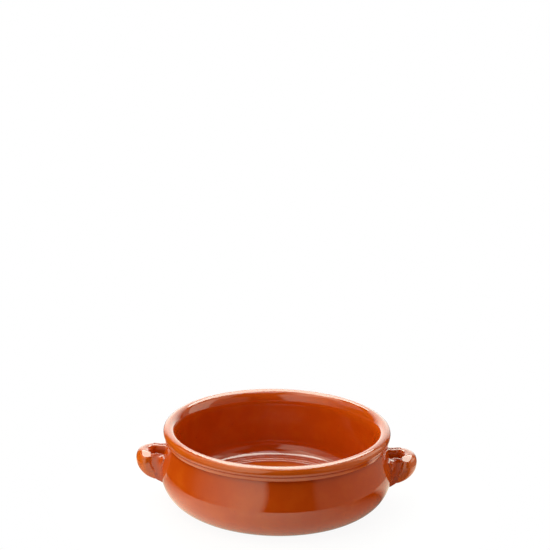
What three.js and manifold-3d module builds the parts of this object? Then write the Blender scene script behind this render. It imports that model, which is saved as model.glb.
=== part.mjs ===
import * as THREE from 'three';
import { LoftGeometry } from 'three/addons/geometries/LoftGeometry.js';
import { mergeVertices } from 'three/addons/utils/BufferGeometryUtils.js';
import Module from 'manifold-3d';

// A small lugged casserole dish in glazed terracotta: a thrown bowl with a rolled rim, a looped
// lug on either side of it, and the soft clay that was worked round each lug's two roots to lute
// it to the wall. Millimetres, +Z up. The origin is under the middle of the foot, on the surface
// that the dish stands on, and the lugs lie along X.

// Bowl, outside
const RIM_DIAMETER = 130;
const HEIGHT = 44;
const BELLY_BULGE = 1.5; // how far the belly stands out past the rim
const BELLY_HEIGHT = 17.6;
const FOOT_INSET = 16; // from the belly in to the edge of the foot
const FOOT_RING_WIDTH = 9;
const UNDERSIDE_HOLLOW = 0.8;
const UNDERSIDE_SLOPE = 3;
const BELLY_FULLNESS = 6.3; // how far the belly's upright stretch is felt up the shoulder
const SHOULDER_DRAW = 7.2; // how far the neck's slope is felt down the shoulder
const SHOULDER_LEAN = 1.5; // how far the shoulder leans in over that stretch

// Rim: a roll over a narrow collar, with a fine groove between the two
const ROLL_OVERHANG = 3.25; // from the rim's crown out to the roll's widest line
const ROLL_DOME = 2.8; // from the roll's widest line up to the crown
const ROLL_UNDERSIDE = 2.6; // from the groove up to the roll's widest line
const COLLAR_HEIGHT = 2.9;
const COLLAR_INSET = 0.6;
const GROOVE_DEPTH = 0.35;
const NECK_INSET = 2.3;

// Bowl, inside
const LIP_DEPTH = 9; // from the rim's crown down to the narrowest line of the mouth
const LIP_NARROWING = 4.9; // from the crown in to that line
const WALL_THICKNESS = 10.5; // at the belly
const BASE_THICKNESS = 4.5;
const CORNER_WIDTH = 7; // of the hollow curve between the wall and the floor
const CORNER_HEIGHT = 10;

// Throwing rings on the floor, from its edge inwards
const RIDGE_MARGIN = 1;
const RIDGES = 2;
const RIDGE_WIDTH = 2.7;
const RIDGE_HEIGHT = 0.55;

// Lug: a loop of clay with two legs, thick across its outer bar
const LUG_RISE = 11; // from the belly line up to the lug's level top
const LUG_GAP = 6.3; // finger room between the wall and the bar
const LEG_SPACING = 15;
const LEG_LENGTH = 3.2; // straight stretch from the wall to the bend
const LEG_THICKNESS = 4.6;
const LEG_DIP = 2.4; // how far the top of a leg is thumbed down below the bar's
const LEG_DROP = 4.4; // how far the underside of a leg hangs below the bar's
const BAR_THICKNESS = 8.2;
const BAR_HEIGHT = 12.4;
const LUG_SQUARENESS = 2.4; // 2 is an oval section, more is squarer

// Luting clay: a band along each leg, drawn out into a fan on the wall near its top
const LUTING_SPREAD = 1.3;
const LUTING_LIP = 0.8;
const FAN_SPREAD = 6.5;
const FAN_ANGLE = Math.PI / 4; // round a leg, from its top towards its outer side
const FAN_NARROWNESS = 3;

// Clearance between pieces that are luted together
const FILM = 0.3;

// Steps along each curve
const TURN_STEPS = 60;
const LOWER_WALL_STEPS = 9;
const SHOULDER_STEPS = 6;
const COLLAR_STEPS = 4;
const UNDER_ROLL_STEPS = 2;
const ROLL_STEPS = 5; // over the outer half of the roll
const LIP_STEPS = 7; // over the inner half
const INNER_SIDE_STEPS = 6;
const FLOOR_CORNER_STEPS = 7;
const RIDGE_STEPS = 4;
const SECTION_STEPS = 22; // round a lug
const BEND_STEPS = 16;
const LEG_STEPS = 5;

// Glaze: a clear gloss over the clay, a little duller where it was worked by hand
const BOWL_COLOR = 0xb9531f;
const LUG_COLOR = 0xb5501e;
const LUTING_COLOR = 0xa94a1d;
const GLOSS = 0.2;
const HAND_WORKED_GLOSS = 0.26;

// Sizes that follow from those above
const rimRadius = RIM_DIAMETER / 2;
const crownRadius = rimRadius - ROLL_OVERHANG;
const rollHeight = HEIGHT - ROLL_DOME;
const grooveHeight = rollHeight - ROLL_UNDERSIDE;
const collarRadius = rimRadius - COLLAR_INSET;
const neckRadius = rimRadius - NECK_INSET;
const neckHeight = grooveHeight - COLLAR_HEIGHT;
const bellyRadius = rimRadius + BELLY_BULGE;
const footRadius = bellyRadius - FOOT_INSET;
const innerBellyRadius = bellyRadius - WALL_THICKNESS;
const floorRadius = innerBellyRadius - CORNER_WIDTH;

const wasm = await Module();
wasm.setup();

// Turns a closed geometry into a solid that can be cut. Corners that lie in one place become one
// vertex, and the triangles that this flattens to nothing, as on a lathe's axis, are dropped.
function toSolid(geometry) {
  const bare = new THREE.BufferGeometry();
  bare.setAttribute('position', geometry.getAttribute('position'));
  bare.setIndex(geometry.getIndex());
  const merged = mergeVertices(bare);
  const corners = merged.index.array;
  const kept = [];
  for (let i = 0; i < corners.length; i += 3) {
    const triangle = corners.slice(i, i + 3);
    if (new Set(triangle).size === 3) kept.push(...triangle);
  }
  const vertProperties = Float32Array.from(merged.attributes.position.array);
  const triVerts = Uint32Array.from(kept);
  return new wasm.Manifold(new wasm.Mesh({ numProp: 3, vertProperties, triVerts }));
}

function toGeometry(solid) {
  const { vertProperties, triVerts } = solid.getMesh();
  const geometry = new THREE.BufferGeometry();
  geometry.setAttribute('position', new THREE.BufferAttribute(vertProperties, 3));
  geometry.setIndex(new THREE.BufferAttribute(triVerts, 1));
  geometry.computeVertexNormals();
  return geometry;
}

// Points along a run of curves that meet end to end, each curve with its own number of steps.
function tracePoints(stretches) {
  const points = [stretches[0][0].getPoint(0)];
  for (const [curve, steps] of stretches) points.push(...curve.getPoints(steps).slice(1));
  return points;
}

function corner(radius, height) {
  return new THREE.Vector2(radius, height);
}

function straight(from, to) {
  return [new THREE.LineCurve(from, to), 1];
}

// The outside of the bowl from the edge of the foot to the crown of the rim, as radius and height:
// the rounded lower wall, the shoulder, the collar, the groove and the outer half of the roll.
function outerWall() {
  const lowerWall = new THREE.EllipseCurve(
    footRadius, BELLY_HEIGHT, FOOT_INSET, BELLY_HEIGHT, -Math.PI / 2, 0,
  );
  const shoulder = new THREE.CubicBezierCurve(
    corner(bellyRadius, BELLY_HEIGHT),
    corner(bellyRadius, BELLY_HEIGHT + BELLY_FULLNESS),
    corner(neckRadius + SHOULDER_LEAN, neckHeight - SHOULDER_DRAW),
    corner(neckRadius, neckHeight),
  );
  const collar = new THREE.EllipseCurve(
    neckRadius, grooveHeight, collarRadius - neckRadius, COLLAR_HEIGHT, -Math.PI / 2, 0,
  );
  const grooveFloor = corner(collarRadius - GROOVE_DEPTH, grooveHeight);
  const underRoll = new THREE.QuadraticBezierCurve(
    grooveFloor, corner(rimRadius, grooveHeight), corner(rimRadius, rollHeight),
  );
  const outerRoll = new THREE.EllipseCurve(
    crownRadius, rollHeight, ROLL_OVERHANG, ROLL_DOME, 0, Math.PI / 2,
  );
  return [
    [lowerWall, LOWER_WALL_STEPS],
    [shoulder, SHOULDER_STEPS],
    [collar, COLLAR_STEPS],
    straight(corner(collarRadius, grooveHeight), grooveFloor),
    [underRoll, UNDER_ROLL_STEPS],
    [outerRoll, ROLL_STEPS],
  ];
}

// A low round ridge on the floor, from its outer foot inwards.
function floorRidge(outerFoot) {
  const halfWidth = RIDGE_WIDTH / 2;
  return new THREE.EllipseCurve(outerFoot - halfWidth, BASE_THICKNESS, halfWidth, RIDGE_HEIGHT, 0, Math.PI);
}

// The inside of the bowl from the crown of the rim to the middle of the floor: the lip, which flares
// out to the crown, the side, the corner, and the rings on the floor.
function innerWall() {
  const mouthRadius = crownRadius - LIP_NARROWING;
  const mouthHeight = HEIGHT - LIP_DEPTH;
  const cornerHeight = BASE_THICKNESS + CORNER_HEIGHT;
  const third = (mouthHeight - cornerHeight) / 3;
  const lip = new THREE.EllipseCurve(
    crownRadius, mouthHeight, LIP_NARROWING, LIP_DEPTH, Math.PI / 2, Math.PI,
  );
  const side = new THREE.CubicBezierCurve(
    corner(mouthRadius, mouthHeight),
    corner(mouthRadius, mouthHeight - third),
    corner(innerBellyRadius, cornerHeight + third),
    corner(innerBellyRadius, cornerHeight),
  );
  const floorCorner = new THREE.EllipseCurve(
    floorRadius, cornerHeight, CORNER_WIDTH, CORNER_HEIGHT, 0, -Math.PI / 2, true,
  );
  let ridgeFoot = floorRadius - RIDGE_MARGIN;
  const stretches = [
    [lip, LIP_STEPS],
    [side, INNER_SIDE_STEPS],
    [floorCorner, FLOOR_CORNER_STEPS],
    straight(corner(floorRadius, BASE_THICKNESS), corner(ridgeFoot, BASE_THICKNESS)),
  ];
  for (let ridge = 0; ridge < RIDGES; ridge += 1) {
    stretches.push([floorRidge(ridgeFoot), RIDGE_STEPS]);
    ridgeFoot -= RIDGE_WIDTH;
  }
  stretches.push(straight(corner(ridgeFoot, BASE_THICKNESS), corner(0, BASE_THICKNESS)));
  return stretches;
}

// The underside: a shallow hollow inside the flat ring that the dish stands on.
function underside() {
  const ringInside = footRadius - FOOT_RING_WIDTH;
  const hollowEdge = corner(ringInside - UNDERSIDE_SLOPE, UNDERSIDE_HOLLOW);
  return [
    straight(corner(0, UNDERSIDE_HOLLOW), hollowEdge),
    straight(hollowEdge, corner(ringInside, 0)),
    straight(corner(ringInside, 0), corner(footRadius, 0)),
  ];
}

function turned(profile) {
  return toSolid(new THREE.LatheGeometry(profile, TURN_STEPS).rotateX(Math.PI / 2));
}

function bowlSolid() {
  return turned(tracePoints([...underside(), ...outerWall(), ...innerWall()]));
}

const wallPoints = tracePoints(outerWall());

// The room that the bowl takes up, filled in and grown by the film, which cuts whatever is luted
// to the wall.
function bowlRoom() {
  const grown = wallPoints.map((point) => corner(point.x + FILM, point.y));
  return turned([corner(0, 0), ...grown, corner(0, HEIGHT)]);
}

function wallRadiusAt(height) {
  const above = wallPoints.findIndex((point) => point.y >= height);
  const low = wallPoints[above - 1];
  const high = wallPoints[above];
  return THREE.MathUtils.mapLinear(height, low.y, high.y, low.x, high.x);
}

const lugTop = BELLY_HEIGHT + LUG_RISE;
const lugWall = wallRadiusAt(lugTop - BAR_HEIGHT / 2);
const barRadius = lugWall + LUG_GAP + BAR_THICKNESS / 2;
const bendStart = lugWall + LEG_LENGTH;

// How far out the wall lies where it has curved back to the tip of a fan
const fanFoot = Math.sqrt(lugWall ** 2 - (LEG_SPACING / 2 + LEG_THICKNESS / 2 + FAN_SPREAD) ** 2);

// Spots along the middle of the right lug, seen from above: out from the wall at the front root,
// round the bend and back in at the other root. Each has its place and the way it is heading.
function lugSpots() {
  const side = LEG_SPACING / 2;
  const frontBuried = new THREE.LineCurve(corner(floorRadius, -side), corner(fanFoot, -side));
  const frontLeg = new THREE.LineCurve(corner(fanFoot, -side), corner(bendStart, -side));
  const bend = new THREE.EllipseCurve(
    bendStart, 0, barRadius - bendStart, side, -Math.PI / 2, Math.PI / 2,
  );
  const backLeg = new THREE.LineCurve(corner(bendStart, side), corner(fanFoot, side));
  const backBuried = new THREE.LineCurve(corner(fanFoot, side), corner(floorRadius, side));
  const stretches = [
    [frontBuried, 1], [frontLeg, LEG_STEPS], [bend, BEND_STEPS], [backLeg, LEG_STEPS], [backBuried, 1],
  ];
  const spots = [{ place: frontBuried.getPoint(0), heading: frontBuried.getTangent(0) }];
  for (const [curve, steps] of stretches) {
    for (let step = 1; step <= steps; step += 1) {
      const share = step / steps;
      spots.push({ place: curve.getPoint(share), heading: curve.getTangent(share) });
    }
  }
  return spots;
}

// One closed section of the lug, across its length. From the bar to the roots its top dips and its
// underside drops. growth gives how far a point stands out past the lug itself, outward and upward,
// from its angle: 0 is the top, and a quarter turn is the side away from the finger hole.
function lugSection({ place, heading }, growth) {
  const share = THREE.MathUtils.clamp((place.x - lugWall) / (barRadius - lugWall), 0, 1);
  const eased = THREE.MathUtils.smoothstep(share, 0, 1);
  const halfThickness = THREE.MathUtils.lerp(LEG_THICKNESS, BAR_THICKNESS, eased) / 2;
  const top = lugTop - LEG_DIP * (1 - eased);
  const bottom = lugTop - BAR_HEIGHT - LEG_DROP * (1 - share ** 2);
  const halfHeight = (top - bottom) / 2;
  const outward = new THREE.Vector3(heading.y, -heading.x, 0);
  const power = 2 / LUG_SQUARENESS;
  const points = [];
  for (let step = 0; step < SECTION_STEPS; step += 1) {
    const angle = (step / SECTION_STEPS) * 2 * Math.PI;
    const across = Math.sign(Math.sin(angle)) * Math.abs(Math.sin(angle)) ** power;
    const up = Math.sign(Math.cos(angle)) * Math.abs(Math.cos(angle)) ** power;
    const grown = growth(angle);
    const point = new THREE.Vector3(place.x, place.y, top - halfHeight);
    point.addScaledVector(outward, across * (halfThickness + grown.across));
    point.z += up * (halfHeight + grown.up);
    points.push(point);
  }
  return points;
}

function lofted(sections) {
  return toSolid(new LoftGeometry(sections, { capStart: true, capEnd: true }));
}

function evenGrowth(amount) {
  return () => ({ across: amount, up: amount });
}

// How far the luting clay stands out from the leg at one spot: most at the wall, where its outer
// side is also drawn out into a fan that is widest near the top, and a thin lip at the bend.
function lutingGrowth(spot) {
  const out = THREE.MathUtils.clamp((spot.place.x - fanFoot) / (bendStart - fanFoot), 0, 1);
  const nearness = (1 - out) ** 2;
  const band = THREE.MathUtils.lerp(LUTING_LIP, LUTING_SPREAD, nearness);
  return (angle) => {
    const fan = FAN_SPREAD * nearness * Math.max(0, Math.cos(angle - FAN_ANGLE)) ** FAN_NARROWNESS;
    return { across: band + fan, up: band };
  };
}

const room = bowlRoom();
const spots = lugSpots();
const legSpotCount = LEG_STEPS + 2;

function lugSolid() {
  return lofted(spots.map((spot) => lugSection(spot, evenGrowth(0)))).subtract(room);
}

function lutingSolid(legSpots) {
  const grownLug = lofted(spots.map((spot) => lugSection(spot, evenGrowth(FILM))));
  const band = lofted(legSpots.map((spot) => lugSection(spot, lutingGrowth(spot))));
  return band.subtract(grownLug).subtract(room);
}

function glaze(color, roughness) {
  return new THREE.MeshStandardMaterial({ color, roughness, metalness: 0 });
}

function piece(name, solid, material) {
  const mesh = new THREE.Mesh(toGeometry(solid), material);
  mesh.name = name;
  return mesh;
}

// A lug with its luting clay, ready to be turned to its side of the bowl. When it is turned to
// the left, the root that was made at the front comes to the back.
function lugGroup(sideName, frontName, backName) {
  const group = new THREE.Group();
  group.add(piece(`lug_${sideName}`, lugSolid(), glaze(LUG_COLOR, GLOSS)));
  const frontLuting = lutingSolid(spots.slice(0, legSpotCount));
  const backLuting = lutingSolid(spots.slice(-legSpotCount));
  group.add(piece(`luting_${sideName}_${frontName}`, frontLuting, glaze(LUTING_COLOR, HAND_WORKED_GLOSS)));
  group.add(piece(`luting_${sideName}_${backName}`, backLuting, glaze(LUTING_COLOR, HAND_WORKED_GLOSS)));
  return group;
}

const dish = new THREE.Group();
dish.name = 'lugged_casserole_dish';
dish.add(piece('bowl', bowlSolid(), glaze(BOWL_COLOR, GLOSS)));
dish.add(lugGroup('right', 'front', 'back'));
const leftLug = lugGroup('left', 'back', 'front');
leftLug.rotation.z = Math.PI;
dish.add(leftLug);

export default dish;
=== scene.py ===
"""A lugged casserole dish in glossy glazed terracotta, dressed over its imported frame."""

import math

import bpy
import numpy as np
from mathutils import Matrix, Vector


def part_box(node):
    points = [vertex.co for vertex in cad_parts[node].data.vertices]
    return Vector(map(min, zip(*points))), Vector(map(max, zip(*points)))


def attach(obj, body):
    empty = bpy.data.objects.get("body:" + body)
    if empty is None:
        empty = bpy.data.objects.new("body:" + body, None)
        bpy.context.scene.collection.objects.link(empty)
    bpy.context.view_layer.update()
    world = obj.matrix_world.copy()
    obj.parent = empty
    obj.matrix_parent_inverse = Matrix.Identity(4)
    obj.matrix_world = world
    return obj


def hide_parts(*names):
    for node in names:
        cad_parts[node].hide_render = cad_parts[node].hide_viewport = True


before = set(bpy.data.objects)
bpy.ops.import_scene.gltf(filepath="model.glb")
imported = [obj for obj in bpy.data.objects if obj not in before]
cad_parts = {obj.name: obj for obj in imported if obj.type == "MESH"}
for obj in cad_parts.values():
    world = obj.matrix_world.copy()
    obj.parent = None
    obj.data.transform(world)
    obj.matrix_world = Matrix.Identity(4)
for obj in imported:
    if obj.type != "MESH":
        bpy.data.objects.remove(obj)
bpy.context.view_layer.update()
scene = bpy.context.scene

# Sizes are in millimetres, as in the part, and become metres when a mesh is made.
MM = 0.001

# Bowl, outside
BELLY_BULGE = 1.5
BELLY_HEIGHT = 17.6
FOOT_INSET = 16
FOOT_RING_WIDTH = 9
UNDERSIDE_HOLLOW = 0.8
UNDERSIDE_SLOPE = 3
BELLY_FULLNESS = 6.3
SHOULDER_DRAW = 7.2
SHOULDER_LEAN = 1.5

# Rim
ROLL_OVERHANG = 3.25
ROLL_DOME = 2.8
ROLL_UNDERSIDE = 2.6
COLLAR_HEIGHT = 2.9
COLLAR_INSET = 0.6
GROOVE_DEPTH = 0.35
NECK_INSET = 2.3

# Bowl, inside
LIP_DEPTH = 9
LIP_NARROWING = 4.9
WALL_THICKNESS = 10.5
BASE_THICKNESS = 4.5
CORNER_WIDTH = 7
CORNER_HEIGHT = 10

# Throwing rings on the floor, from its corner inwards
RIDGE_MARGIN = 1
RIDGES = 2
RIDGE_WIDTH = 2.7
RIDGE_HEIGHT = 0.55

# Depth of the glaze, from 0 for thin to 1 for deep
# The floor's middle gets thin, lighter glaze as painted light, standing in for the direct light it gets
# from above
PAINTED_LIGHT_FLOOR_GLAZE = 0.1
LUG_GLAZE = 0.28
LUTING_GLAZE = 0.5

# How the glaze runs off edges into hollows, and how far along the profile this reaches
GLAZE_MIDDLE = 0.5
GLAZE_RUN = 0.6
GLAZE_RUN_REACH = 1.2

# The hand that threw it: how far the bowl is from round and the rim from level, with phases in radians
OUT_OF_ROUND = 0.07
OVAL_PHASE = 0.6
THREE_SIDED_SHARE = 0.5
THREE_SIDED_PHASE = 2.1
RIM_WAVE = 0.08
RIM_WAVE_PHASE = 1.9
RIM_WAVE_POWER = 4

# Lugs. In a pair of values by side, -1 is the left lug and 1 the right one.
LUG_PLUMPNESS = 0.6
LEG_SPACING = 15
LEG_LENGTH = 3.2
LEG_THICKNESS = 4.2
LEG_DIP = 0.8
LEG_DROP = 4.4
LEG_TAIL = {-1: 2.6, 1: 5.0}
TAIL_START = 1
TAIL_REACH = 4
FRONT_LEG_SQUARENESS = 1.7
BACK_LEG_SQUARENESS = 3.5
BACK_LEG_LEAN = 0.25
SWELL_START = 4.8
SWELL_END = 7.8
BAR_THICKNESS = 8.8
BAR_HEIGHT = 12.4
BAR_SQUARENESS = 2.4
UNDERCUT = math.radians(28)
UNDERCUT_START = 9.5
UNDERCUT_ROUNDING = 2.5
THUMB_TILT = math.radians(25)
THUMB_PLACE = 6
THUMB_DEPTH = 0.9
THUMB_REACH = 5.2
THUMB_RISE = 0.6
CREASE_DEPTH = 0.6
CREASE_WIDTH = 0.7
PANEL_HOLLOW = 1.5
PANEL_TOP_MARGIN = 1
PANEL_TOP_FADE = 3
PANEL_LOW_MARGIN = 1
PANEL_LOW_FADE = 5
PANEL_SIDE_MARGIN = 1
PANEL_SIDE_FADE = 1.5
LUG_LUMPS = 0.12
LUMP_LENGTH = 9
LUMP_WAVES = 6
LUMP_SEED = 5

# Luting clay round the roots of the lugs. In a pair of values by end, -1 is the front and 1 the back.
LUTING_COVER = 0.35
LUTING_REACH = 6.2
SEAM_LEAN = 0.2
LUTING_DEPTH = 1.2
FAN_FOOT = 17
FAN_RISE = 13
FAN_SPREAD = {-1: 4.5, 1: 3.5}
FAN_REACH = 5
FAN_LIP = 0.6
FAN_HOLLOW = 3.2
FAN_FALL = {-1: 0.9, 1: 0}
FAN_FALL_START = 1
SEAM_WAVE = 0.35
SEAM_WAVE_LENGTH = 7
EDGE_ROUNDING = 0.7

# Fineness of the meshes
TURN_STEPS = 240
UNDERSIDE_STEPS = 8
SLOPE_STEPS = 4
FOOT_STEPS = 5
BELLY_STEPS = 36
SHOULDER_STEPS = 30
COLLAR_STEPS = 12
GROOVE_STEPS = 2
ROLL_UNDERSIDE_STEPS = 6
ROLL_STEPS = 18
LIP_STEPS = 24
INNER_WALL_STEPS = 26
CORNER_STEPS = 24
MARGIN_STEPS = 3
RIDGE_STEPS = 10
FLOOR_STEPS = 10
SHARP_ANGLE = math.radians(50)
SCULPT_PITCH = 0.28
SETTLING_STEPS = 3
SETTLING_NUDGE = SCULPT_PITCH / 8
LEAST_SLOPE = 0.05
TINY = 0.001

# Room round a lug in which it is sculpted
ROOM_INTO_WALL = 8
ROOM_ACROSS = 24
ROOM_BELOW = 5
ROOM_OUTWARD = 2
ROOM_ABOVE = 8

# Main sizes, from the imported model
bowl_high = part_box("bowl")[1] / MM
lug_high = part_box("lug_right")[1] / MM
BELLY_RADIUS = bowl_high.x
HEIGHT = bowl_high.z
LUG_REACH = lug_high.x + LUG_PLUMPNESS
LUG_TOP = lug_high.z

# Camera, fitted to the photograph
CAMERA_DISTANCE = 850
CAMERA_ELEVATION = math.radians(22.32)
CAMERA_ROLL = math.radians(1.03)
AIM_HEIGHT = 22
IMAGE_SIZE = 550
FOCAL_PIXELS = 1459.8
AIM_PIXEL_X = 279.76
AIM_PIXEL_Y = 460.80


# Curves of the bowl's profile, as rows of radius and height

def line(start, end, steps):
    return np.linspace(start, end, steps + 1)


def arc(centre, radii, start, end, steps):
    turn = np.radians(np.linspace(start, end, steps + 1))
    return np.column_stack((centre[0] + radii[0] * np.cos(turn), centre[1] + radii[1] * np.sin(turn)))


def bezier(start, first, second, end, steps):
    t = np.linspace(0, 1, steps + 1)[:, None]
    weights = ((1 - t) ** 3, 3 * t * (1 - t) ** 2, 3 * t ** 2 * (1 - t), t ** 3)
    return sum(weight * np.array(point) for weight, point in zip(weights, (start, first, second, end)))


def ridge(outer, width, height, level, steps):
    """A half-round ring on the floor, from its outer foot to its inner one."""
    return arc((outer - width / 2, level), (width / 2, height), 0, 180, steps)


def joined(runs):
    """Runs end to end, with each shared point kept once."""
    return np.vstack([runs[0]] + [run[1:] for run in runs[1:]])


rim_radius = BELLY_RADIUS - BELLY_BULGE
crown_radius = rim_radius - ROLL_OVERHANG
mouth_radius = crown_radius - LIP_NARROWING
roll_height = HEIGHT - ROLL_DOME
groove_height = roll_height - ROLL_UNDERSIDE
collar_radius = rim_radius - COLLAR_INSET
neck_radius = rim_radius - NECK_INSET
neck_height = groove_height - COLLAR_HEIGHT
foot_radius = BELLY_RADIUS - FOOT_INSET
inner_belly_radius = BELLY_RADIUS - WALL_THICKNESS
floor_radius = inner_belly_radius - CORNER_WIDTH


def underside_profile():
    """The underside from its middle to the edge of the foot."""
    hollow_radius = foot_radius - FOOT_RING_WIDTH
    slope_start = hollow_radius - UNDERSIDE_SLOPE
    return joined([
        line((0, UNDERSIDE_HOLLOW), (slope_start, UNDERSIDE_HOLLOW), UNDERSIDE_STEPS),
        line((slope_start, UNDERSIDE_HOLLOW), (hollow_radius, 0), SLOPE_STEPS),
        line((hollow_radius, 0), (foot_radius, 0), FOOT_STEPS),
    ])


def wall_profile():
    """The outside from the foot to the crown of the rim."""
    groove_radius = collar_radius - GROOVE_DEPTH
    collar_radii = (collar_radius - neck_radius, COLLAR_HEIGHT)
    roll_radii = (ROLL_OVERHANG, ROLL_DOME)
    return joined([
        arc((foot_radius, BELLY_HEIGHT), (FOOT_INSET, BELLY_HEIGHT), -90, 0, BELLY_STEPS),
        bezier(
            (BELLY_RADIUS, BELLY_HEIGHT),
            (BELLY_RADIUS, BELLY_HEIGHT + BELLY_FULLNESS),
            (neck_radius + SHOULDER_LEAN, neck_height - SHOULDER_DRAW),
            (neck_radius, neck_height),
            SHOULDER_STEPS,
        ),
        arc((neck_radius, groove_height), collar_radii, -90, 0, COLLAR_STEPS),
        line((collar_radius, groove_height), (groove_radius, groove_height), GROOVE_STEPS),
        bezier(
            (groove_radius, groove_height),
            (rim_radius - GROOVE_DEPTH / 2, groove_height),
            (rim_radius, groove_height + ROLL_UNDERSIDE / 3),
            (rim_radius, roll_height),
            ROLL_UNDERSIDE_STEPS,
        ),
        arc((crown_radius, roll_height), roll_radii, 0, 90, ROLL_STEPS),
    ])


def inside_profile():
    """The inside from the crown of the rim to the middle of the floor."""
    lip_height = HEIGHT - LIP_DEPTH
    corner_height = BASE_THICKNESS + CORNER_HEIGHT
    third = (lip_height - corner_height) / 3
    ridge_start = floor_radius - RIDGE_MARGIN
    runs = [
        arc((crown_radius, lip_height), (LIP_NARROWING, LIP_DEPTH), 90, 180, LIP_STEPS),
        bezier(
            (mouth_radius, lip_height),
            (mouth_radius, lip_height - third),
            (inner_belly_radius, corner_height + third),
            (inner_belly_radius, corner_height),
            INNER_WALL_STEPS,
        ),
        arc((floor_radius, corner_height), (CORNER_WIDTH, CORNER_HEIGHT), 0, -90, CORNER_STEPS),
        line((floor_radius, BASE_THICKNESS), (ridge_start, BASE_THICKNESS), MARGIN_STEPS),
    ]
    for _ in range(RIDGES):
        runs.append(ridge(ridge_start, RIDGE_WIDTH, RIDGE_HEIGHT, BASE_THICKNESS, RIDGE_STEPS))
        ridge_start -= RIDGE_WIDTH
    runs.append(line((ridge_start, BASE_THICKNESS), (0, BASE_THICKNESS), FLOOR_STEPS))
    return joined(runs)


def out_of_round(turn, height):
    """How far the wall stands out from the true circle at a turn and a height."""
    oval = np.sin(2 * turn + OVAL_PHASE)
    three_sided = np.sin(3 * turn + THREE_SIDED_PHASE)
    return OUT_OF_ROUND * height / HEIGHT * (oval + THREE_SIDED_SHARE * three_sided)


def glaze_depth(profile):
    """How thick the glaze lies along a profile: thin on its edges, pooled in its hollows."""
    steps = np.diff(profile, axis=0)
    lengths = np.linalg.norm(steps, axis=1)
    headings = np.unwrap(np.arctan2(steps[:, 1], steps[:, 0]))
    bends = np.concatenate(([0], np.diff(headings), [0]))
    along = np.concatenate(([0], np.cumsum(lengths)))
    weights = np.exp(-((along[:, None] - along[None, :]) / GLAZE_RUN_REACH) ** 2)
    curl = weights @ bends / (GLAZE_RUN_REACH * math.sqrt(math.pi))
    return np.clip(GLAZE_MIDDLE - GLAZE_RUN * curl, 0, 1)


def thrown_bowl():
    """Points, faces and glaze depth of the bowl, turned about Z."""
    profile = joined([underside_profile(), wall_profile(), inside_profile()])
    depth = glaze_depth(profile)
    # Painted light: the middle of the floor is made lighter with thin glaze, for the light that falls on
    # it from above
    depth[-FLOOR_STEPS:] = PAINTED_LIGHT_FLOOR_GLAZE
    turns = np.arange(TURN_STEPS) * 2 * math.pi / TURN_STEPS
    rings = profile[1:-1]
    radius = rings[:, :1] + out_of_round(turns[None, :], rings[:, 1:])
    wave = RIM_WAVE * np.sin(2 * turns[None, :] + RIM_WAVE_PHASE)
    height = rings[:, 1:] + wave * (rings[:, 1:] / HEIGHT) ** RIM_WAVE_POWER
    points = np.stack((radius * np.cos(turns), radius * np.sin(turns), height), axis=-1).reshape(-1, 3)
    count = len(rings)
    low_pole = count * TURN_STEPS
    high_pole = low_pole + 1
    points = np.vstack((points, (0, 0, profile[0, 1]), (0, 0, profile[-1, 1])))
    faces = []
    for turn in range(TURN_STEPS):
        after = (turn + 1) % TURN_STEPS
        faces.append((low_pole, after, turn))
        for ring in range(count - 1):
            here = ring * TURN_STEPS
            above = here + TURN_STEPS
            faces.append((here + turn, here + after, above + after, above + turn))
        last = (count - 1) * TURN_STEPS
        faces.append((last + turn, last + after, high_pole))
    glaze = np.concatenate((np.repeat(depth[1:-1], TURN_STEPS), depth[[0, -1]]))
    return points, faces, glaze


# Sculpted clay: solids given by a field that is below zero inside

# The wall from the foot to just under the neck, which the lugs and the luting clay lie against
rising = wall_profile()[:BELLY_STEPS + SHOULDER_STEPS - 1]


def wall_radius(turn, height):
    """The outside radius of the wall at a turn and a height."""
    return np.interp(height, rising[:, 1], rising[:, 0]) + out_of_round(turn, height)


def smooth_step(value):
    value = np.clip(value, 0, 1)
    return value * value * (3 - 2 * value)


def mix(a, b, share):
    return a + (b - a) * share


def soft_union(a, b, reach):
    """Two fields joined, with the seam between them rounded."""
    share = np.clip(0.5 + 0.5 * (b - a) / reach, 0, 1)
    return mix(b, a, share) - reach * share * (1 - share)


def soft_overlap(a, b, reach):
    """What two fields share, with its edge rounded."""
    return -soft_union(-a, -b, reach)


def lumps(points, seed):
    """Slow unevenness, as fingers leave it."""
    chance = np.random.default_rng(seed)
    rise = np.zeros(len(points))
    for _ in range(LUMP_WAVES):
        heading = chance.normal(size=3)
        heading *= 2 * math.pi / LUMP_LENGTH / np.linalg.norm(heading)
        rise += np.sin(points @ heading + chance.uniform(0, 2 * math.pi))
    return rise / LUMP_WAVES


lug_wall = float(wall_radius(0, LUG_TOP - BAR_HEIGHT / 2))
bar_radius = LUG_REACH - BAR_THICKNESS / 2
bend_start = lug_wall + LEG_LENGTH
half_spacing = LEG_SPACING / 2


def from_wall(points, side):
    """How far points on the +X side stand off the wall of the side that they are made for."""
    turn = np.arctan2(side * points[:, 1], side * points[:, 0])
    return np.hypot(points[:, 0], points[:, 1]) - wall_radius(turn, points[:, 2])


def seam_place(z):
    """How far out the luting clay ends on a leg, less towards its underside."""
    return lug_wall + LUTING_REACH - SEAM_LEAN * (LUG_TOP - z)


def loop_path(x, y):
    """How far points lie outside the loop's middle line, and how far out along it they are."""
    bend = np.maximum(x - bend_start, 0) * half_spacing / (bar_radius - bend_start)
    from_centre = np.hypot(bend, y)
    bend_share = bend / np.maximum(from_centre, TINY)
    along = np.where(x > bend_start, bend_start + bend_share * (bar_radius - bend_start), x)
    return from_centre - half_spacing, along


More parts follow.
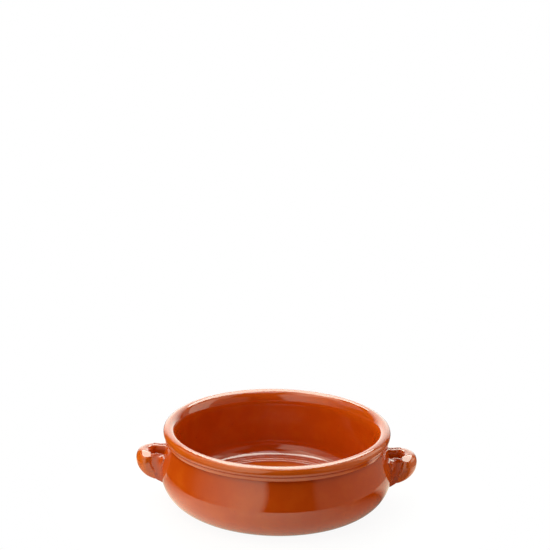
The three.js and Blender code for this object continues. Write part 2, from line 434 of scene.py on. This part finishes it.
def root_press(x, y, z, bottom):
    """How deep the crease at the seam and the hollow panels at the roots are pressed in."""
    seam = seam_place(z)
    crease = CREASE_DEPTH * np.exp(-((x - seam) / CREASE_WIDTH) ** 2)
    panel = np.clip((x - lug_wall) / (seam - lug_wall), 0, 1)
    pressed = crease + PANEL_HOLLOW * 4 * panel * (1 - panel)
    pressed *= smooth_step((LUG_TOP - PANEL_TOP_MARGIN - z) / PANEL_TOP_FADE)
    pressed *= smooth_step((z - bottom - PANEL_LOW_MARGIN) / PANEL_LOW_FADE)
    return pressed * smooth_step((np.abs(y) - half_spacing + PANEL_SIDE_MARGIN) / PANEL_SIDE_FADE)


def loop_field(points, side):
    """The pulled loop of clay on the +X side: two legs and a plump bar, thumbed down at its corners."""
    x, y, z = points.T
    outwards, along = loop_path(x, y)
    # The section, from the legs to the bar
    share = np.clip((along - lug_wall) / (bar_radius - lug_wall), 0, 1)
    tail = LEG_TAIL[side] * np.clip(1 - (x - lug_wall + TAIL_START) / TAIL_REACH, 0, 1) ** 2
    at_back = smooth_step(side * y / half_spacing)
    swell = smooth_step((along - lug_wall - SWELL_START) / (SWELL_END - SWELL_START))
    lean = BACK_LEG_LEAN * (side * y - half_spacing) * at_back * (1 - swell)
    top = LUG_TOP - LEG_DIP * (1 - smooth_step(share)) + lean
    bottom = LUG_TOP - BAR_HEIGHT - LEG_DROP * (1 - share ** 2) - tail
    middle = (top + bottom) / 2
    tall = (top - bottom) / 2
    half = mix(LEG_THICKNESS, BAR_THICKNESS, swell) / 2
    power = mix(mix(FRONT_LEG_SQUARENESS, BACK_LEG_SQUARENESS, at_back), BAR_SQUARENESS, swell)
    across = np.abs(outwards)
    reach = ((across / half) ** power + (np.abs(z - middle) / tall) ** power) ** (1 / power)
    away = np.hypot(across, z - middle)
    loop = away - away / np.maximum(reach, TINY) + LUG_LUMPS * lumps(points, LUMP_SEED + side)
    # The undercut below the bar and the thumbed corner
    undercut = (outwards - BAR_THICKNESS / 2) * math.cos(UNDERCUT)
    undercut -= (z - LUG_TOP + UNDERCUT_START) * math.sin(UNDERCUT)
    loop = soft_overlap(loop, undercut, UNDERCUT_ROUNDING)
    thumbed = (-side * y - THUMB_PLACE) * math.sin(THUMB_TILT)
    thumbed += (z - LUG_TOP + THUMB_DEPTH) * math.cos(THUMB_TILT)
    thumbed -= THUMB_RISE * np.maximum(lug_wall + THUMB_REACH - x, 0)
    return soft_overlap(loop, thumbed, EDGE_ROUNDING) + root_press(x, y, z, bottom)


def lug_field(points, side):
    """One lug with its roots let into the wall."""
    return np.maximum(loop_field(points, side), -from_wall(points, side) - LUTING_DEPTH)


def luting_field(points, side, end):
    """The clay round one root: a skin on the leg, drawn out into a hollow fan with a raised lip."""
    x, y, z = points.T
    # The left lug is turned half round, which swaps its ends
    way = end * side
    outward = way * y
    off_wall = from_wall(points, side)
    leg_side = half_spacing + LEG_THICKNESS / 2
    leg_top = LUG_TOP - LEG_DIP
    seam = seam_place(z) + SEAM_WAVE * np.sin(2 * math.pi * z / SEAM_WAVE_LENGTH + side + way)
    leg = loop_field(points, side) - LUTING_COVER
    fan_edge = leg_side + FAN_SPREAD[end] * smooth_step((z - FAN_FOOT) / FAN_RISE)
    nearness = np.clip(1 - np.maximum(off_wall - FAN_LIP, 0) / FAN_REACH, 0, 1) ** FAN_HOLLOW
    side_face = outward - mix(leg_side - LUTING_COVER, fan_edge, nearness)
    fall = FAN_FALL[end] * (outward - half_spacing - FAN_FALL_START) * (1 - nearness)
    top_face = z - leg_top + LUTING_COVER + fall
    fan = soft_overlap(side_face, top_face, EDGE_ROUNDING)
    fan = np.maximum(fan, FAN_FOOT - z)
    clay = soft_union(leg, fan, EDGE_ROUNDING)
    clay = soft_overlap(clay, x - seam, EDGE_ROUNDING)
    return np.maximum.reduce((clay, -off_wall - LUTING_DEPTH, half_spacing - outward))


def settled(field, points):
    """Points close to a field's surface, moved onto it."""
    steps = SETTLING_NUDGE * np.eye(3)
    for _ in range(SETTLING_STEPS):
        rises = [field(points + step) - field(points - step) for step in steps]
        slope = np.stack(rises, axis=-1) / (2 * SETTLING_NUDGE)
        steepness = np.maximum((slope ** 2).sum(axis=1), LEAST_SLOPE)
        move = field(points)[:, None] * slope / steepness[:, None]
        points = points - np.clip(move, -SETTLING_NUDGE, SETTLING_NUDGE)
    return points


def skin(field, low, high):
    """Points and four-sided faces of the surface where a field crosses zero, settled onto it."""
    axes = [np.arange(a, b, SCULPT_PITCH) for a, b in zip(low, high)]
    grid = np.stack(np.meshgrid(*axes, indexing="ij"), axis=-1)
    values = field(grid.reshape(-1, 3)).reshape(grid.shape[:3])
    cells = tuple(length - 1 for length in values.shape)
    sums = np.zeros(cells + (3,))
    count = np.zeros(cells)
    crossings = []
    # Each cell's point is the mean of the places where its edges cross the surface
    for axis in range(3):
        first = np.moveaxis(values, axis, 0)[:-1]
        second = np.moveaxis(values, axis, 0)[1:]
        crossed = (first < 0) != (second < 0)
        share = np.where(crossed, first / np.where(crossed, first - second, 1), 0)
        place = np.moveaxis(grid, axis, 0)[:-1].copy()
        place[..., axis] += share * SCULPT_PITCH
        crossings.append((crossed, first < 0))
        into = np.moveaxis(sums, axis, 0)
        into_count = np.moveaxis(count, axis, 0)
        rows, columns = into_count.shape[1:]
        for i in (0, 1):
            for j in (0, 1):
                part = crossed[:, i:i + rows, j:j + columns]
                into_count += part
                into += part[..., None] * place[:, i:i + rows, j:j + columns]
    used = count > 0
    numbers = np.full(cells, -1)
    numbers[used] = np.arange(used.sum())
    points = sums[used] / count[used][:, None]
    faces = []
    # Each crossing joins the points of the four cells around it
    for axis in range(3):
        crossed, inside = crossings[axis]
        around = np.moveaxis(numbers, axis, 0)
        i, j, k = np.nonzero(crossed)
        ring = [around[i, j - 1, k - 1], around[i, j, k - 1], around[i, j, k], around[i, j - 1, k]]
        quads = np.stack(ring, axis=-1)
        flip = inside[i, j, k] == (axis == 1)
        quads[flip] = quads[flip][:, ::-1]
        faces.append(quads)
    return settled(field, points), np.vstack(faces)


# Materials

def node(owner, kind, **settings):
    """A new shader node of a material, a lamp or the world."""
    made = owner.node_tree.nodes.new("ShaderNode" + kind)
    for name, value in settings.items():
        setattr(made, name, value)
    return made


def noise(material, place, scale, detail):
    made = node(material, "TexNoise")
    made.inputs["Scale"].default_value = scale
    made.inputs["Detail"].default_value = detail
    material.node_tree.links.new(place, made.inputs["Vector"])
    return made.outputs["Fac"]


def spread(material, source, low, high, to_low, to_high):
    """The source's range from low to high, mapped to another one and kept inside it."""
    made = node(material, "MapRange")
    for name, value in zip(("From Min", "From Max", "To Min", "To Max"), (low, high, to_low, to_high)):
        made.inputs[name].default_value = value
    material.node_tree.links.new(source, made.inputs["Value"])
    return made.outputs["Result"]


def combined(owner, operation, first, second):
    """The result of an operation, such as ADD, on two values."""
    made = node(owner, "Math", operation=operation)
    owner.node_tree.links.new(first, made.inputs[0])
    owner.node_tree.links.new(second, made.inputs[1])
    return made.outputs["Value"]


def blended(material, share, first, second):
    """Two colours by share. Each is a colour or a socket."""
    made = node(material, "Mix", data_type="RGBA")
    links = material.node_tree.links
    links.new(share, made.inputs["Factor"])
    for name, colour in (("A", first), ("B", second)):
        socket = next(s for s in made.inputs if s.name == name and s.type == "RGBA")
        if isinstance(colour, tuple):
            socket.default_value = colour + (1,)
        else:
            links.new(colour, socket)
    return next(s for s in made.outputs if s.type == "RGBA")


THIN_GLAZE = (0.67, 0.125, 0.008)
BODY_GLAZE = (0.50, 0.054, 0.0015)
DEEP_GLAZE = (0.36, 0.033, 0.001)
IRON_SPECK = (0.10, 0.012, 0.002)
BARE_CLAY = (0.50, 0.20, 0.10)
GLAZE_IOR = 1.6

# Places of the thin, middle and deep colours in the glaze's depth
THIN_PLACE = 0.1
BODY_PLACE = 0.5
DEEP_PLACE = 0.95

# The part of a noise's range that is used. Scales of noise and waves are per metre.
NOISE_LOW = 0.3
NOISE_HIGH = 0.7

# Cloudy changes in the depth of the glaze
MOTTLE_SCALE = 90
MOTTLE_DETAIL = 4
MOTTLE_DEPTH = 0.06

# Iron specks
SPECK_SCALE = 900
SPECK_DETAIL = 1
SPECK_START = 0.76
SPECK_END = 0.82
SPECK_SHARE = 0.6

# Roughness. In a pair of values, False is the thrown bowl and True the handled clay.
GLOSS_SCALE = 160
GLOSS_DETAIL = 3
GLOSS_LOW = 0.035
GLOSS_HIGH = {False: 0.07, True: 0.09}

# Fine unevenness of the glaze
BUMP_HEIGHT = 0.1
RIPPLE_SCALE = {False: 300, True: 420}
RIPPLE_DETAIL = 2
RIPPLE_STRENGTH = {False: 0.1, True: 0.14}

# Faint throwing lines on the bowl
THROWING_SCALE = 150
THROWING_DISTORTION = 1.5
THROWING_DETAIL_SCALE = 0.4
THROWING_STRENGTH = 0.08

# Bare clay at the foot, in millimetres up from the table
BARE_END = 1.0
GLAZE_START = 1.3
EDGE_SCALE = 200
EDGE_DETAIL = 2
EDGE_UNEVENNESS = 0.2
BARE_ROUGHNESS = 0.75


def glaze_colour(material, place):
    """Lighter where the glaze is thin and darker where it is deep, with iron specks."""
    depth = node(material, "Attribute", attribute_name="glaze").outputs["Fac"]
    clouds = noise(material, place, MOTTLE_SCALE, MOTTLE_DETAIL)
    mottle = spread(material, clouds, NOISE_LOW, NOISE_HIGH, -MOTTLE_DEPTH, MOTTLE_DEPTH)
    ramp = node(material, "ValToRGB")
    stops = ramp.color_ramp.elements
    stops[0].position = THIN_PLACE
    stops[0].color = THIN_GLAZE + (1,)
    stops[1].position = DEEP_PLACE
    stops[1].color = DEEP_GLAZE + (1,)
    stops.new(BODY_PLACE).color = BODY_GLAZE + (1,)
    material.node_tree.links.new(combined(material, "ADD", depth, mottle), ramp.inputs["Fac"])
    grains = noise(material, place, SPECK_SCALE, SPECK_DETAIL)
    specks = spread(material, grains, SPECK_START, SPECK_END, 0, SPECK_SHARE)
    return blended(material, specks, ramp.outputs["Color"], IRON_SPECK)


def bump(material, height, strength, below=None):
    """A fine relief, over another one where one is given."""
    made = node(material, "Bump")
    made.inputs["Strength"].default_value = strength
    made.inputs["Distance"].default_value = BUMP_HEIGHT * MM
    material.node_tree.links.new(height, made.inputs["Height"])
    if below is not None:
        material.node_tree.links.new(below, made.inputs["Normal"])
    return made.outputs["Normal"]


def throwing_lines(material, place):
    """Level lines, as the potter's fingers leave them on the wheel."""
    made = node(material, "TexWave", bands_direction="Z")
    made.inputs["Scale"].default_value = THROWING_SCALE
    made.inputs["Distortion"].default_value = THROWING_DISTORTION
    made.inputs["Detail Scale"].default_value = THROWING_DETAIL_SCALE
    material.node_tree.links.new(place, made.inputs["Vector"])
    return made.outputs["Fac"]


def bare_foot(material, place):
    """1 on the bare clay of the foot and 0 on the glaze above it, with an uneven edge between them."""
    rise = node(material, "SeparateXYZ")
    material.node_tree.links.new(place, rise.inputs["Vector"])
    shift = EDGE_UNEVENNESS * MM
    drips = noise(material, place, EDGE_SCALE, EDGE_DETAIL)
    uneven = spread(material, drips, NOISE_LOW, NOISE_HIGH, -shift, shift)
    above_table = combined(material, "ADD", rise.outputs["Z"], uneven)
    return spread(material, above_table, BARE_END * MM, GLAZE_START * MM, 1, 0)


def glazed_clay(name, handled):
    """Amber glaze over red clay. The bowl, which isn't handled, has throwing lines and a bare foot."""
    material = bpy.data.materials.new(name)
    material.use_nodes = True
    links = material.node_tree.links
    shader = material.node_tree.nodes["Principled BSDF"]
    place = node(material, "TexCoord").outputs["Object"]
    colour = glaze_colour(material, place)
    smears = noise(material, place, GLOSS_SCALE, GLOSS_DETAIL)
    gloss = spread(material, smears, NOISE_LOW, NOISE_HIGH, GLOSS_LOW, GLOSS_HIGH[handled])
    ripple = noise(material, place, RIPPLE_SCALE[handled], RIPPLE_DETAIL)
    relief = bump(material, ripple, RIPPLE_STRENGTH[handled])
    if not handled:
        relief = bump(material, throwing_lines(material, place), THROWING_STRENGTH, relief)
        bare = bare_foot(material, place)
        colour = blended(material, bare, colour, BARE_CLAY)
        gloss = combined(material, "ADD", gloss, spread(material, bare, 0, 1, 0, BARE_ROUGHNESS))
    links.new(colour, shader.inputs["Base Color"])
    links.new(gloss, shader.inputs["Roughness"])
    links.new(relief, shader.inputs["Normal"])
    shader.inputs["IOR"].default_value = GLAZE_IOR
    return material


bowl_glaze = glazed_clay("glazed_terracotta_bowl", handled=False)
lug_glaze = glazed_clay("glazed_terracotta_lugs", handled=True)
luting_glaze = glazed_clay("glazed_luting_clay", handled=True)


# Pieces

def add_piece(name, points, faces, glaze, material):
    mesh = bpy.data.meshes.new(name)
    mesh.from_pydata((np.asarray(points) * MM).tolist(), [], [list(map(int, face)) for face in faces])
    mesh.materials.append(material)
    depths = mesh.attributes.new("glaze", "FLOAT", "POINT").data
    depths.foreach_set("value", np.asarray(glaze, np.float32))
    mesh.shade_smooth()
    mesh.set_sharp_from_angle(angle=SHARP_ANGLE)
    piece = bpy.data.objects.new(name, mesh)
    scene.collection.objects.link(piece)
    return piece


def stand_for(piece, node_name):
    """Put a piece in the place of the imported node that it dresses."""
    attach(piece, "root")
    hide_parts(node_name)


def add_sculpted(name, field, low, high, side, depth, material):
    """A sculpted piece, made on the +X side and turned half round for the left one."""
    points, faces = skin(field, low, high)
    return add_piece(name, points * (side, side, 1), faces, np.full(len(points), depth), material)


stand_for(add_piece("thrown_bowl", *thrown_bowl(), bowl_glaze), "bowl")

leg_bottom = LUG_TOP - BAR_HEIGHT - LEG_DROP
sculpt_low = np.array((lug_wall - ROOM_INTO_WALL, -ROOM_ACROSS, leg_bottom - ROOM_BELOW))
sculpt_high = np.array((LUG_REACH + ROOM_OUTWARD, ROOM_ACROSS, LUG_TOP + ROOM_ABOVE))
for side, side_name in ((-1, "left"), (1, "right")):
    lug = add_sculpted(
        "pulled_lug_" + side_name,
        lambda points, side=side: lug_field(points, side),
        sculpt_low, sculpt_high, side, LUG_GLAZE, lug_glaze,
    )
    stand_for(lug, "lug_" + side_name)
    for end, end_name in ((-1, "front"), (1, "back")):
        way = end * side
        low = np.where((0, way > 0, 0), 0, sculpt_low)
        high = np.where((0, way < 0, 0), 0, sculpt_high)
        luting = add_sculpted(
            "pressed_luting_" + side_name + "_" + end_name,
            lambda points, side=side, end=end: luting_field(points, side, end),
            low, high, side, LUTING_GLAZE, luting_glaze,
        )
        stand_for(luting, "luting_" + side_name + "_" + end_name)


# Floor and background

FLOOR_RADIUS = 127
FLOOR_TURN_STEPS = 96
FLOOR_WHITE = (0.8, 0.8, 0.8, 1)
FLOOR_ROUGHNESS = 0.6
# Painted light on the table for the glaze to mirror: a glow, dimmer to the right as a painted shadow of
# the dish, and darker near the foot as a painted contact shadow
PAINTED_TABLE_GLOW = (1, 0.95, 0.75, 1)
GLOW_HEADING = (-0.74, -0.67, 0)
GLOW_START = -58
GLOW_END = 80
GLOW_BRIGHT = 1.6
BACK_GLOW_HEADING = (0.17, 0.985, 0)
BACK_GLOW_START = 0
BACK_GLOW_END = 18
BACK_GLOW_BRIGHT = 1.2
FADE_HEADING = (-0.8, 0.6, 0)
FADE_START = 40
FADE_END = 95
FADED = 0.2
PAINTED_FOOT_SHADOW = 0.35
PAINTED_FOOT_SHADOW_REACH = 14
CAMERA_WHITE = 1.03
SHADOW_SHARE = 0.1


def shader_mix(material, share, first, second):
    """Two shaders by share."""
    made = node(material, "MixShader")
    links = material.node_tree.links
    links.new(share, made.inputs["Fac"])
    links.new(first, made.inputs[1])
    links.new(second, made.inputs[2])
    return made.outputs["Shader"]


floor_material = bpy.data.materials.new("white_table")
floor_material.use_nodes = True
floor_tree = floor_material.node_tree
floor_shader = floor_tree.nodes["Principled BSDF"]
floor_shader.inputs["Base Color"].default_value = FLOOR_WHITE
floor_shader.inputs["Roughness"].default_value = FLOOR_ROUGHNESS
floor_path = node(floor_material, "LightPath")
floor_place = node(floor_material, "TexCoord").outputs["Object"]


def along_floor(heading, start, end, to_start, to_end):
    """A value that changes between two distances from the table's middle along a heading."""
    made = node(floor_material, "VectorMath", operation="DOT_PRODUCT")
    made.inputs[1].default_value = heading
    floor_tree.links.new(floor_place, made.inputs[0])
    return spread(floor_material, made.outputs["Value"], start * MM, end * MM, to_start, to_end)


# Painted light and shadow on the table, seen only in the glaze's mirror rays: an emitted glow at the
# front left that stands in for the lit table, dimmer towards the right where the dish's shadow falls,
# fading at the far left, darkened near the foot as a painted contact shadow, and another glow at the
# back
painted_glow = node(floor_material, "Emission")
painted_glow.inputs["Color"].default_value = PAINTED_TABLE_GLOW
painted_front_glow = along_floor(GLOW_HEADING, GLOW_START, GLOW_END, 0, GLOW_BRIGHT)
painted_fade = along_floor(FADE_HEADING, FADE_START, FADE_END, 1, FADED)
from_middle = node(floor_material, "VectorMath", operation="LENGTH")
floor_tree.links.new(floor_place, from_middle.inputs[0])
painted_foot_shadow = spread(
    floor_material, from_middle.outputs["Value"],
    foot_radius * MM, (foot_radius + PAINTED_FOOT_SHADOW_REACH) * MM, PAINTED_FOOT_SHADOW, 1,
)
painted_back_glow = along_floor(BACK_GLOW_HEADING, BACK_GLOW_START, BACK_GLOW_END, 0, BACK_GLOW_BRIGHT)
# Painted shadow: the glow is dimmed at the far left and near the foot
painted_front_glow = combined(floor_material, "MULTIPLY", painted_front_glow, painted_fade)
painted_front_glow = combined(floor_material, "MULTIPLY", painted_front_glow, painted_foot_shadow)
floor_tree.links.new(combined(floor_material, "ADD", painted_front_glow, painted_back_glow), painted_glow.inputs["Strength"])

# The camera sees white, with a share of the shaded table for the dish's shadow
white = node(floor_material, "Emission")
white.inputs["Strength"].default_value = CAMERA_WHITE
to_camera = spread(floor_material, floor_path.outputs["Is Camera Ray"], 0, 1, 0, 1 - SHADOW_SHARE)
lit_table = shader_mix(
    floor_material, floor_path.outputs["Is Glossy Ray"],
    floor_shader.outputs["BSDF"], painted_glow.outputs["Emission"],
)
floor_tree.links.new(
    shader_mix(floor_material, to_camera, lit_table, white.outputs["Emission"]),
    floor_tree.nodes["Material Output"].inputs["Surface"],
)
floor_turns = np.arange(FLOOR_TURN_STEPS) * 2 * math.pi / FLOOR_TURN_STEPS
floor_mesh = bpy.data.meshes.new("white_table")
floor_mesh.from_pydata(
    [(FLOOR_RADIUS * MM * math.cos(t), FLOOR_RADIUS * MM * math.sin(t), 0) for t in floor_turns],
    [], [list(range(FLOOR_TURN_STEPS))],
)
floor_mesh.materials.append(floor_material)
floor = bpy.data.objects.new("white_table", floor_mesh)
scene.collection.objects.link(floor)

# World: white to the camera, a soft fill on the dish, and in the glaze a dim room with a paler back
WORLD_WHITE = (1, 1, 1, 1)
WORLD_FILL = 0.22
ROOM_DARK = 0.01
ROOM_PALE = 0.3
PALE_START = 0.72
PALE_END = 0.95

world = bpy.data.worlds.new("studio")
scene.world = world
world.use_nodes = True
world_links = world.node_tree.links
fill = world.node_tree.nodes["Background"]
fill.inputs["Color"].default_value = WORLD_WHITE
path = node(world, "LightPath")
direction = node(world, "SeparateXYZ")
world_links.new(node(world, "TexCoord").outputs["Generated"], direction.inputs["Vector"])
backdrop = node(world, "MapRange", interpolation_type="SMOOTHSTEP")
backdrop.inputs["From Min"].default_value = PALE_START
backdrop.inputs["From Max"].default_value = PALE_END
backdrop.inputs["To Min"].default_value = ROOM_DARK
backdrop.inputs["To Max"].default_value = ROOM_PALE
world_links.new(direction.outputs["Y"], backdrop.inputs["Value"])
seen = node(world, "Mix")
seen.inputs["A"].default_value = WORLD_FILL
world_links.new(path.outputs["Is Glossy Ray"], seen.inputs["Factor"])
world_links.new(backdrop.outputs["Result"], seen.inputs["B"])
strength = combined(world, "MAXIMUM", seen.outputs["Result"], path.outputs["Is Camera Ray"])
world_links.new(strength, fill.inputs["Strength"])


# Studio lamps

LAMP_DISTANCE = 900


def vary_across(lamp, falloff):
    """Give a lamp a share of its light at each place across it."""
    lamp.use_nodes = True
    links = lamp.node_tree.links
    across = node(lamp, "SeparateXYZ")
    ramp = node(lamp, "ValToRGB")
    stops = ramp.color_ramp.elements
    for stop, (position, share) in zip(stops, (falloff[0], falloff[-1])):
        stop.position = position
        stop.color = (share, share, share, 1)
    for position, share in falloff[1:-1]:
        stops.new(position).color = (share, share, share, 1)
    links.new(node(lamp, "NewGeometry").outputs["Parametric"], across.inputs["Vector"])
    links.new(across.outputs["X"], ramp.inputs["Fac"])
    links.new(ramp.outputs["Color"], lamp.node_tree.nodes["Emission"].inputs["Strength"])


def softbox(name, azimuths, elevations, radiance, tint=(1, 1, 1), falloff=()):
    """A rectangular lamp that faces the dish and fills a range of azimuths and elevations, in degrees.

    Azimuth 0 is the camera's side and 90 the right. A falloff is a row of places across the lamp, from 0
    at its left to 1, each with its share of the radiance.
    """
    turn = math.radians(sum(azimuths) / 2)
    rise = math.radians(sum(elevations) / 2)
    half_turn = math.radians(azimuths[1] - azimuths[0]) / 2 * math.cos(rise)
    half_rise = math.radians(elevations[1] - elevations[0]) / 2
    aim = Vector((0, 0, AIM_HEIGHT * MM))
    distance = LAMP_DISTANCE * MM
    away = Vector((math.sin(turn) * math.cos(rise), -math.cos(turn) * math.cos(rise), math.sin(rise)))
    lamp = bpy.data.lights.new(name, "AREA")
    lamp.shape = "RECTANGLE"
    lamp.size = 2 * distance * math.tan(half_turn)
    lamp.size_y = 2 * distance * math.tan(half_rise)
    lamp.color = tint
    lamp.energy = radiance * math.pi * lamp.size * lamp.size_y
    if falloff:
        vary_across(lamp, falloff)
    holder = bpy.data.objects.new(name, lamp)
    holder.location = aim + away * distance
    holder.rotation_euler = away.to_track_quat("Z", "Y").to_euler()
    holder.visible_camera = False
    scene.collection.objects.link(holder)
    return holder


WARM = (1, 0.95, 0.75)
KEY_TINT = (0.83, 1, 0.7)
OVERHEAD_TINT = (0.89, 1, 0.9)
BACKDROP_TINT = (0.87, 1, 0.92)

# Lamps that light the clay and aren't mirrored
key = softbox("key_softbox", (-100, -50), (-8, 32), 4.6, KEY_TINT)
key.visible_glossy = False
low_fill = softbox("low_right_fill", (50, 110), (-24, 10), 1.0)
low_fill.visible_glossy = False
top_fill = softbox("top_fill", (150, 210), (62, 90), 2.6)
top_fill.visible_glossy = False

# Lamps that are only mirrored in the glaze
overhead = softbox("overhead_softbox", (102, 244), (40, 94), 9.0, OVERHEAD_TINT)
overhead.visible_diffuse = False
front_left = softbox(
    "front_left_softbox", (-97, -4), (-24, 56), 1.5, WARM,
    ((0, 0), (0.12, 0.05), (0.34, 0.38), (0.68, 1), (0.9, 1), (1, 0)),
)
front_left.visible_diffuse = False
right_side = softbox("right_side_card", (86, 124), (4, 42), 1.6, WARM)
right_side.visible_diffuse = False

# Lamps and cards that do both
softbox(
    "lit_backdrop", (138, 222), (-4, 41), 2.4, BACKDROP_TINT,
    ((0, 0.2), (0.12, 0.5), (0.3, 1), (0.72, 1), (1, 0.15)),
)
softbox("left_card", (-125, -80), (25, 50), 0.6)
softbox("upper_left_card", (-120, -15), (50, 78), 3.0, WARM, ((0, 1), (1, 0.5)))
softbox("front_upper_card", (-10, 70), (62, 84), 2.2)
softbox(
    "front_right_card", (34, 134), (-24, 40), 0.4, WARM,
    ((0, 0), (0.1, 0.75), (0.3, 0.75), (0.5, 1), (1, 1)),
)
softbox("right_upper_card", (64, 112), (40, 60), 0.9, WARM)


# Camera

def turned_axes(first, second, angle):
    """Two axes turned by an angle in their own plane."""
    return (
        first * math.cos(angle) + second * math.sin(angle),
        second * math.cos(angle) - first * math.sin(angle),
    )


back = Vector((0, -math.cos(CAMERA_ELEVATION), math.sin(CAMERA_ELEVATION)))
ahead = -back
right = Vector((1, 0, 0))
up = right.cross(ahead)
ahead, up = turned_axes(ahead, up, math.atan((AIM_PIXEL_Y - IMAGE_SIZE / 2) / FOCAL_PIXELS))
right, ahead = turned_axes(right, ahead, math.atan((AIM_PIXEL_X - IMAGE_SIZE / 2) / FOCAL_PIXELS))
right, up = turned_axes(right, up, CAMERA_ROLL)
camera_data = bpy.data.cameras.new("camera")
camera_data.angle = 2 * math.atan(IMAGE_SIZE / 2 / FOCAL_PIXELS)
camera = bpy.data.objects.new("camera", camera_data)
camera.matrix_world = Matrix.Translation(
    back * CAMERA_DISTANCE * MM + Vector((0, 0, AIM_HEIGHT * MM))
) @ Matrix((right, up, -ahead)).transposed().to_4x4()
scene.collection.objects.link(camera)
scene.camera = camera
scene.view_settings.view_transform = "Standard"
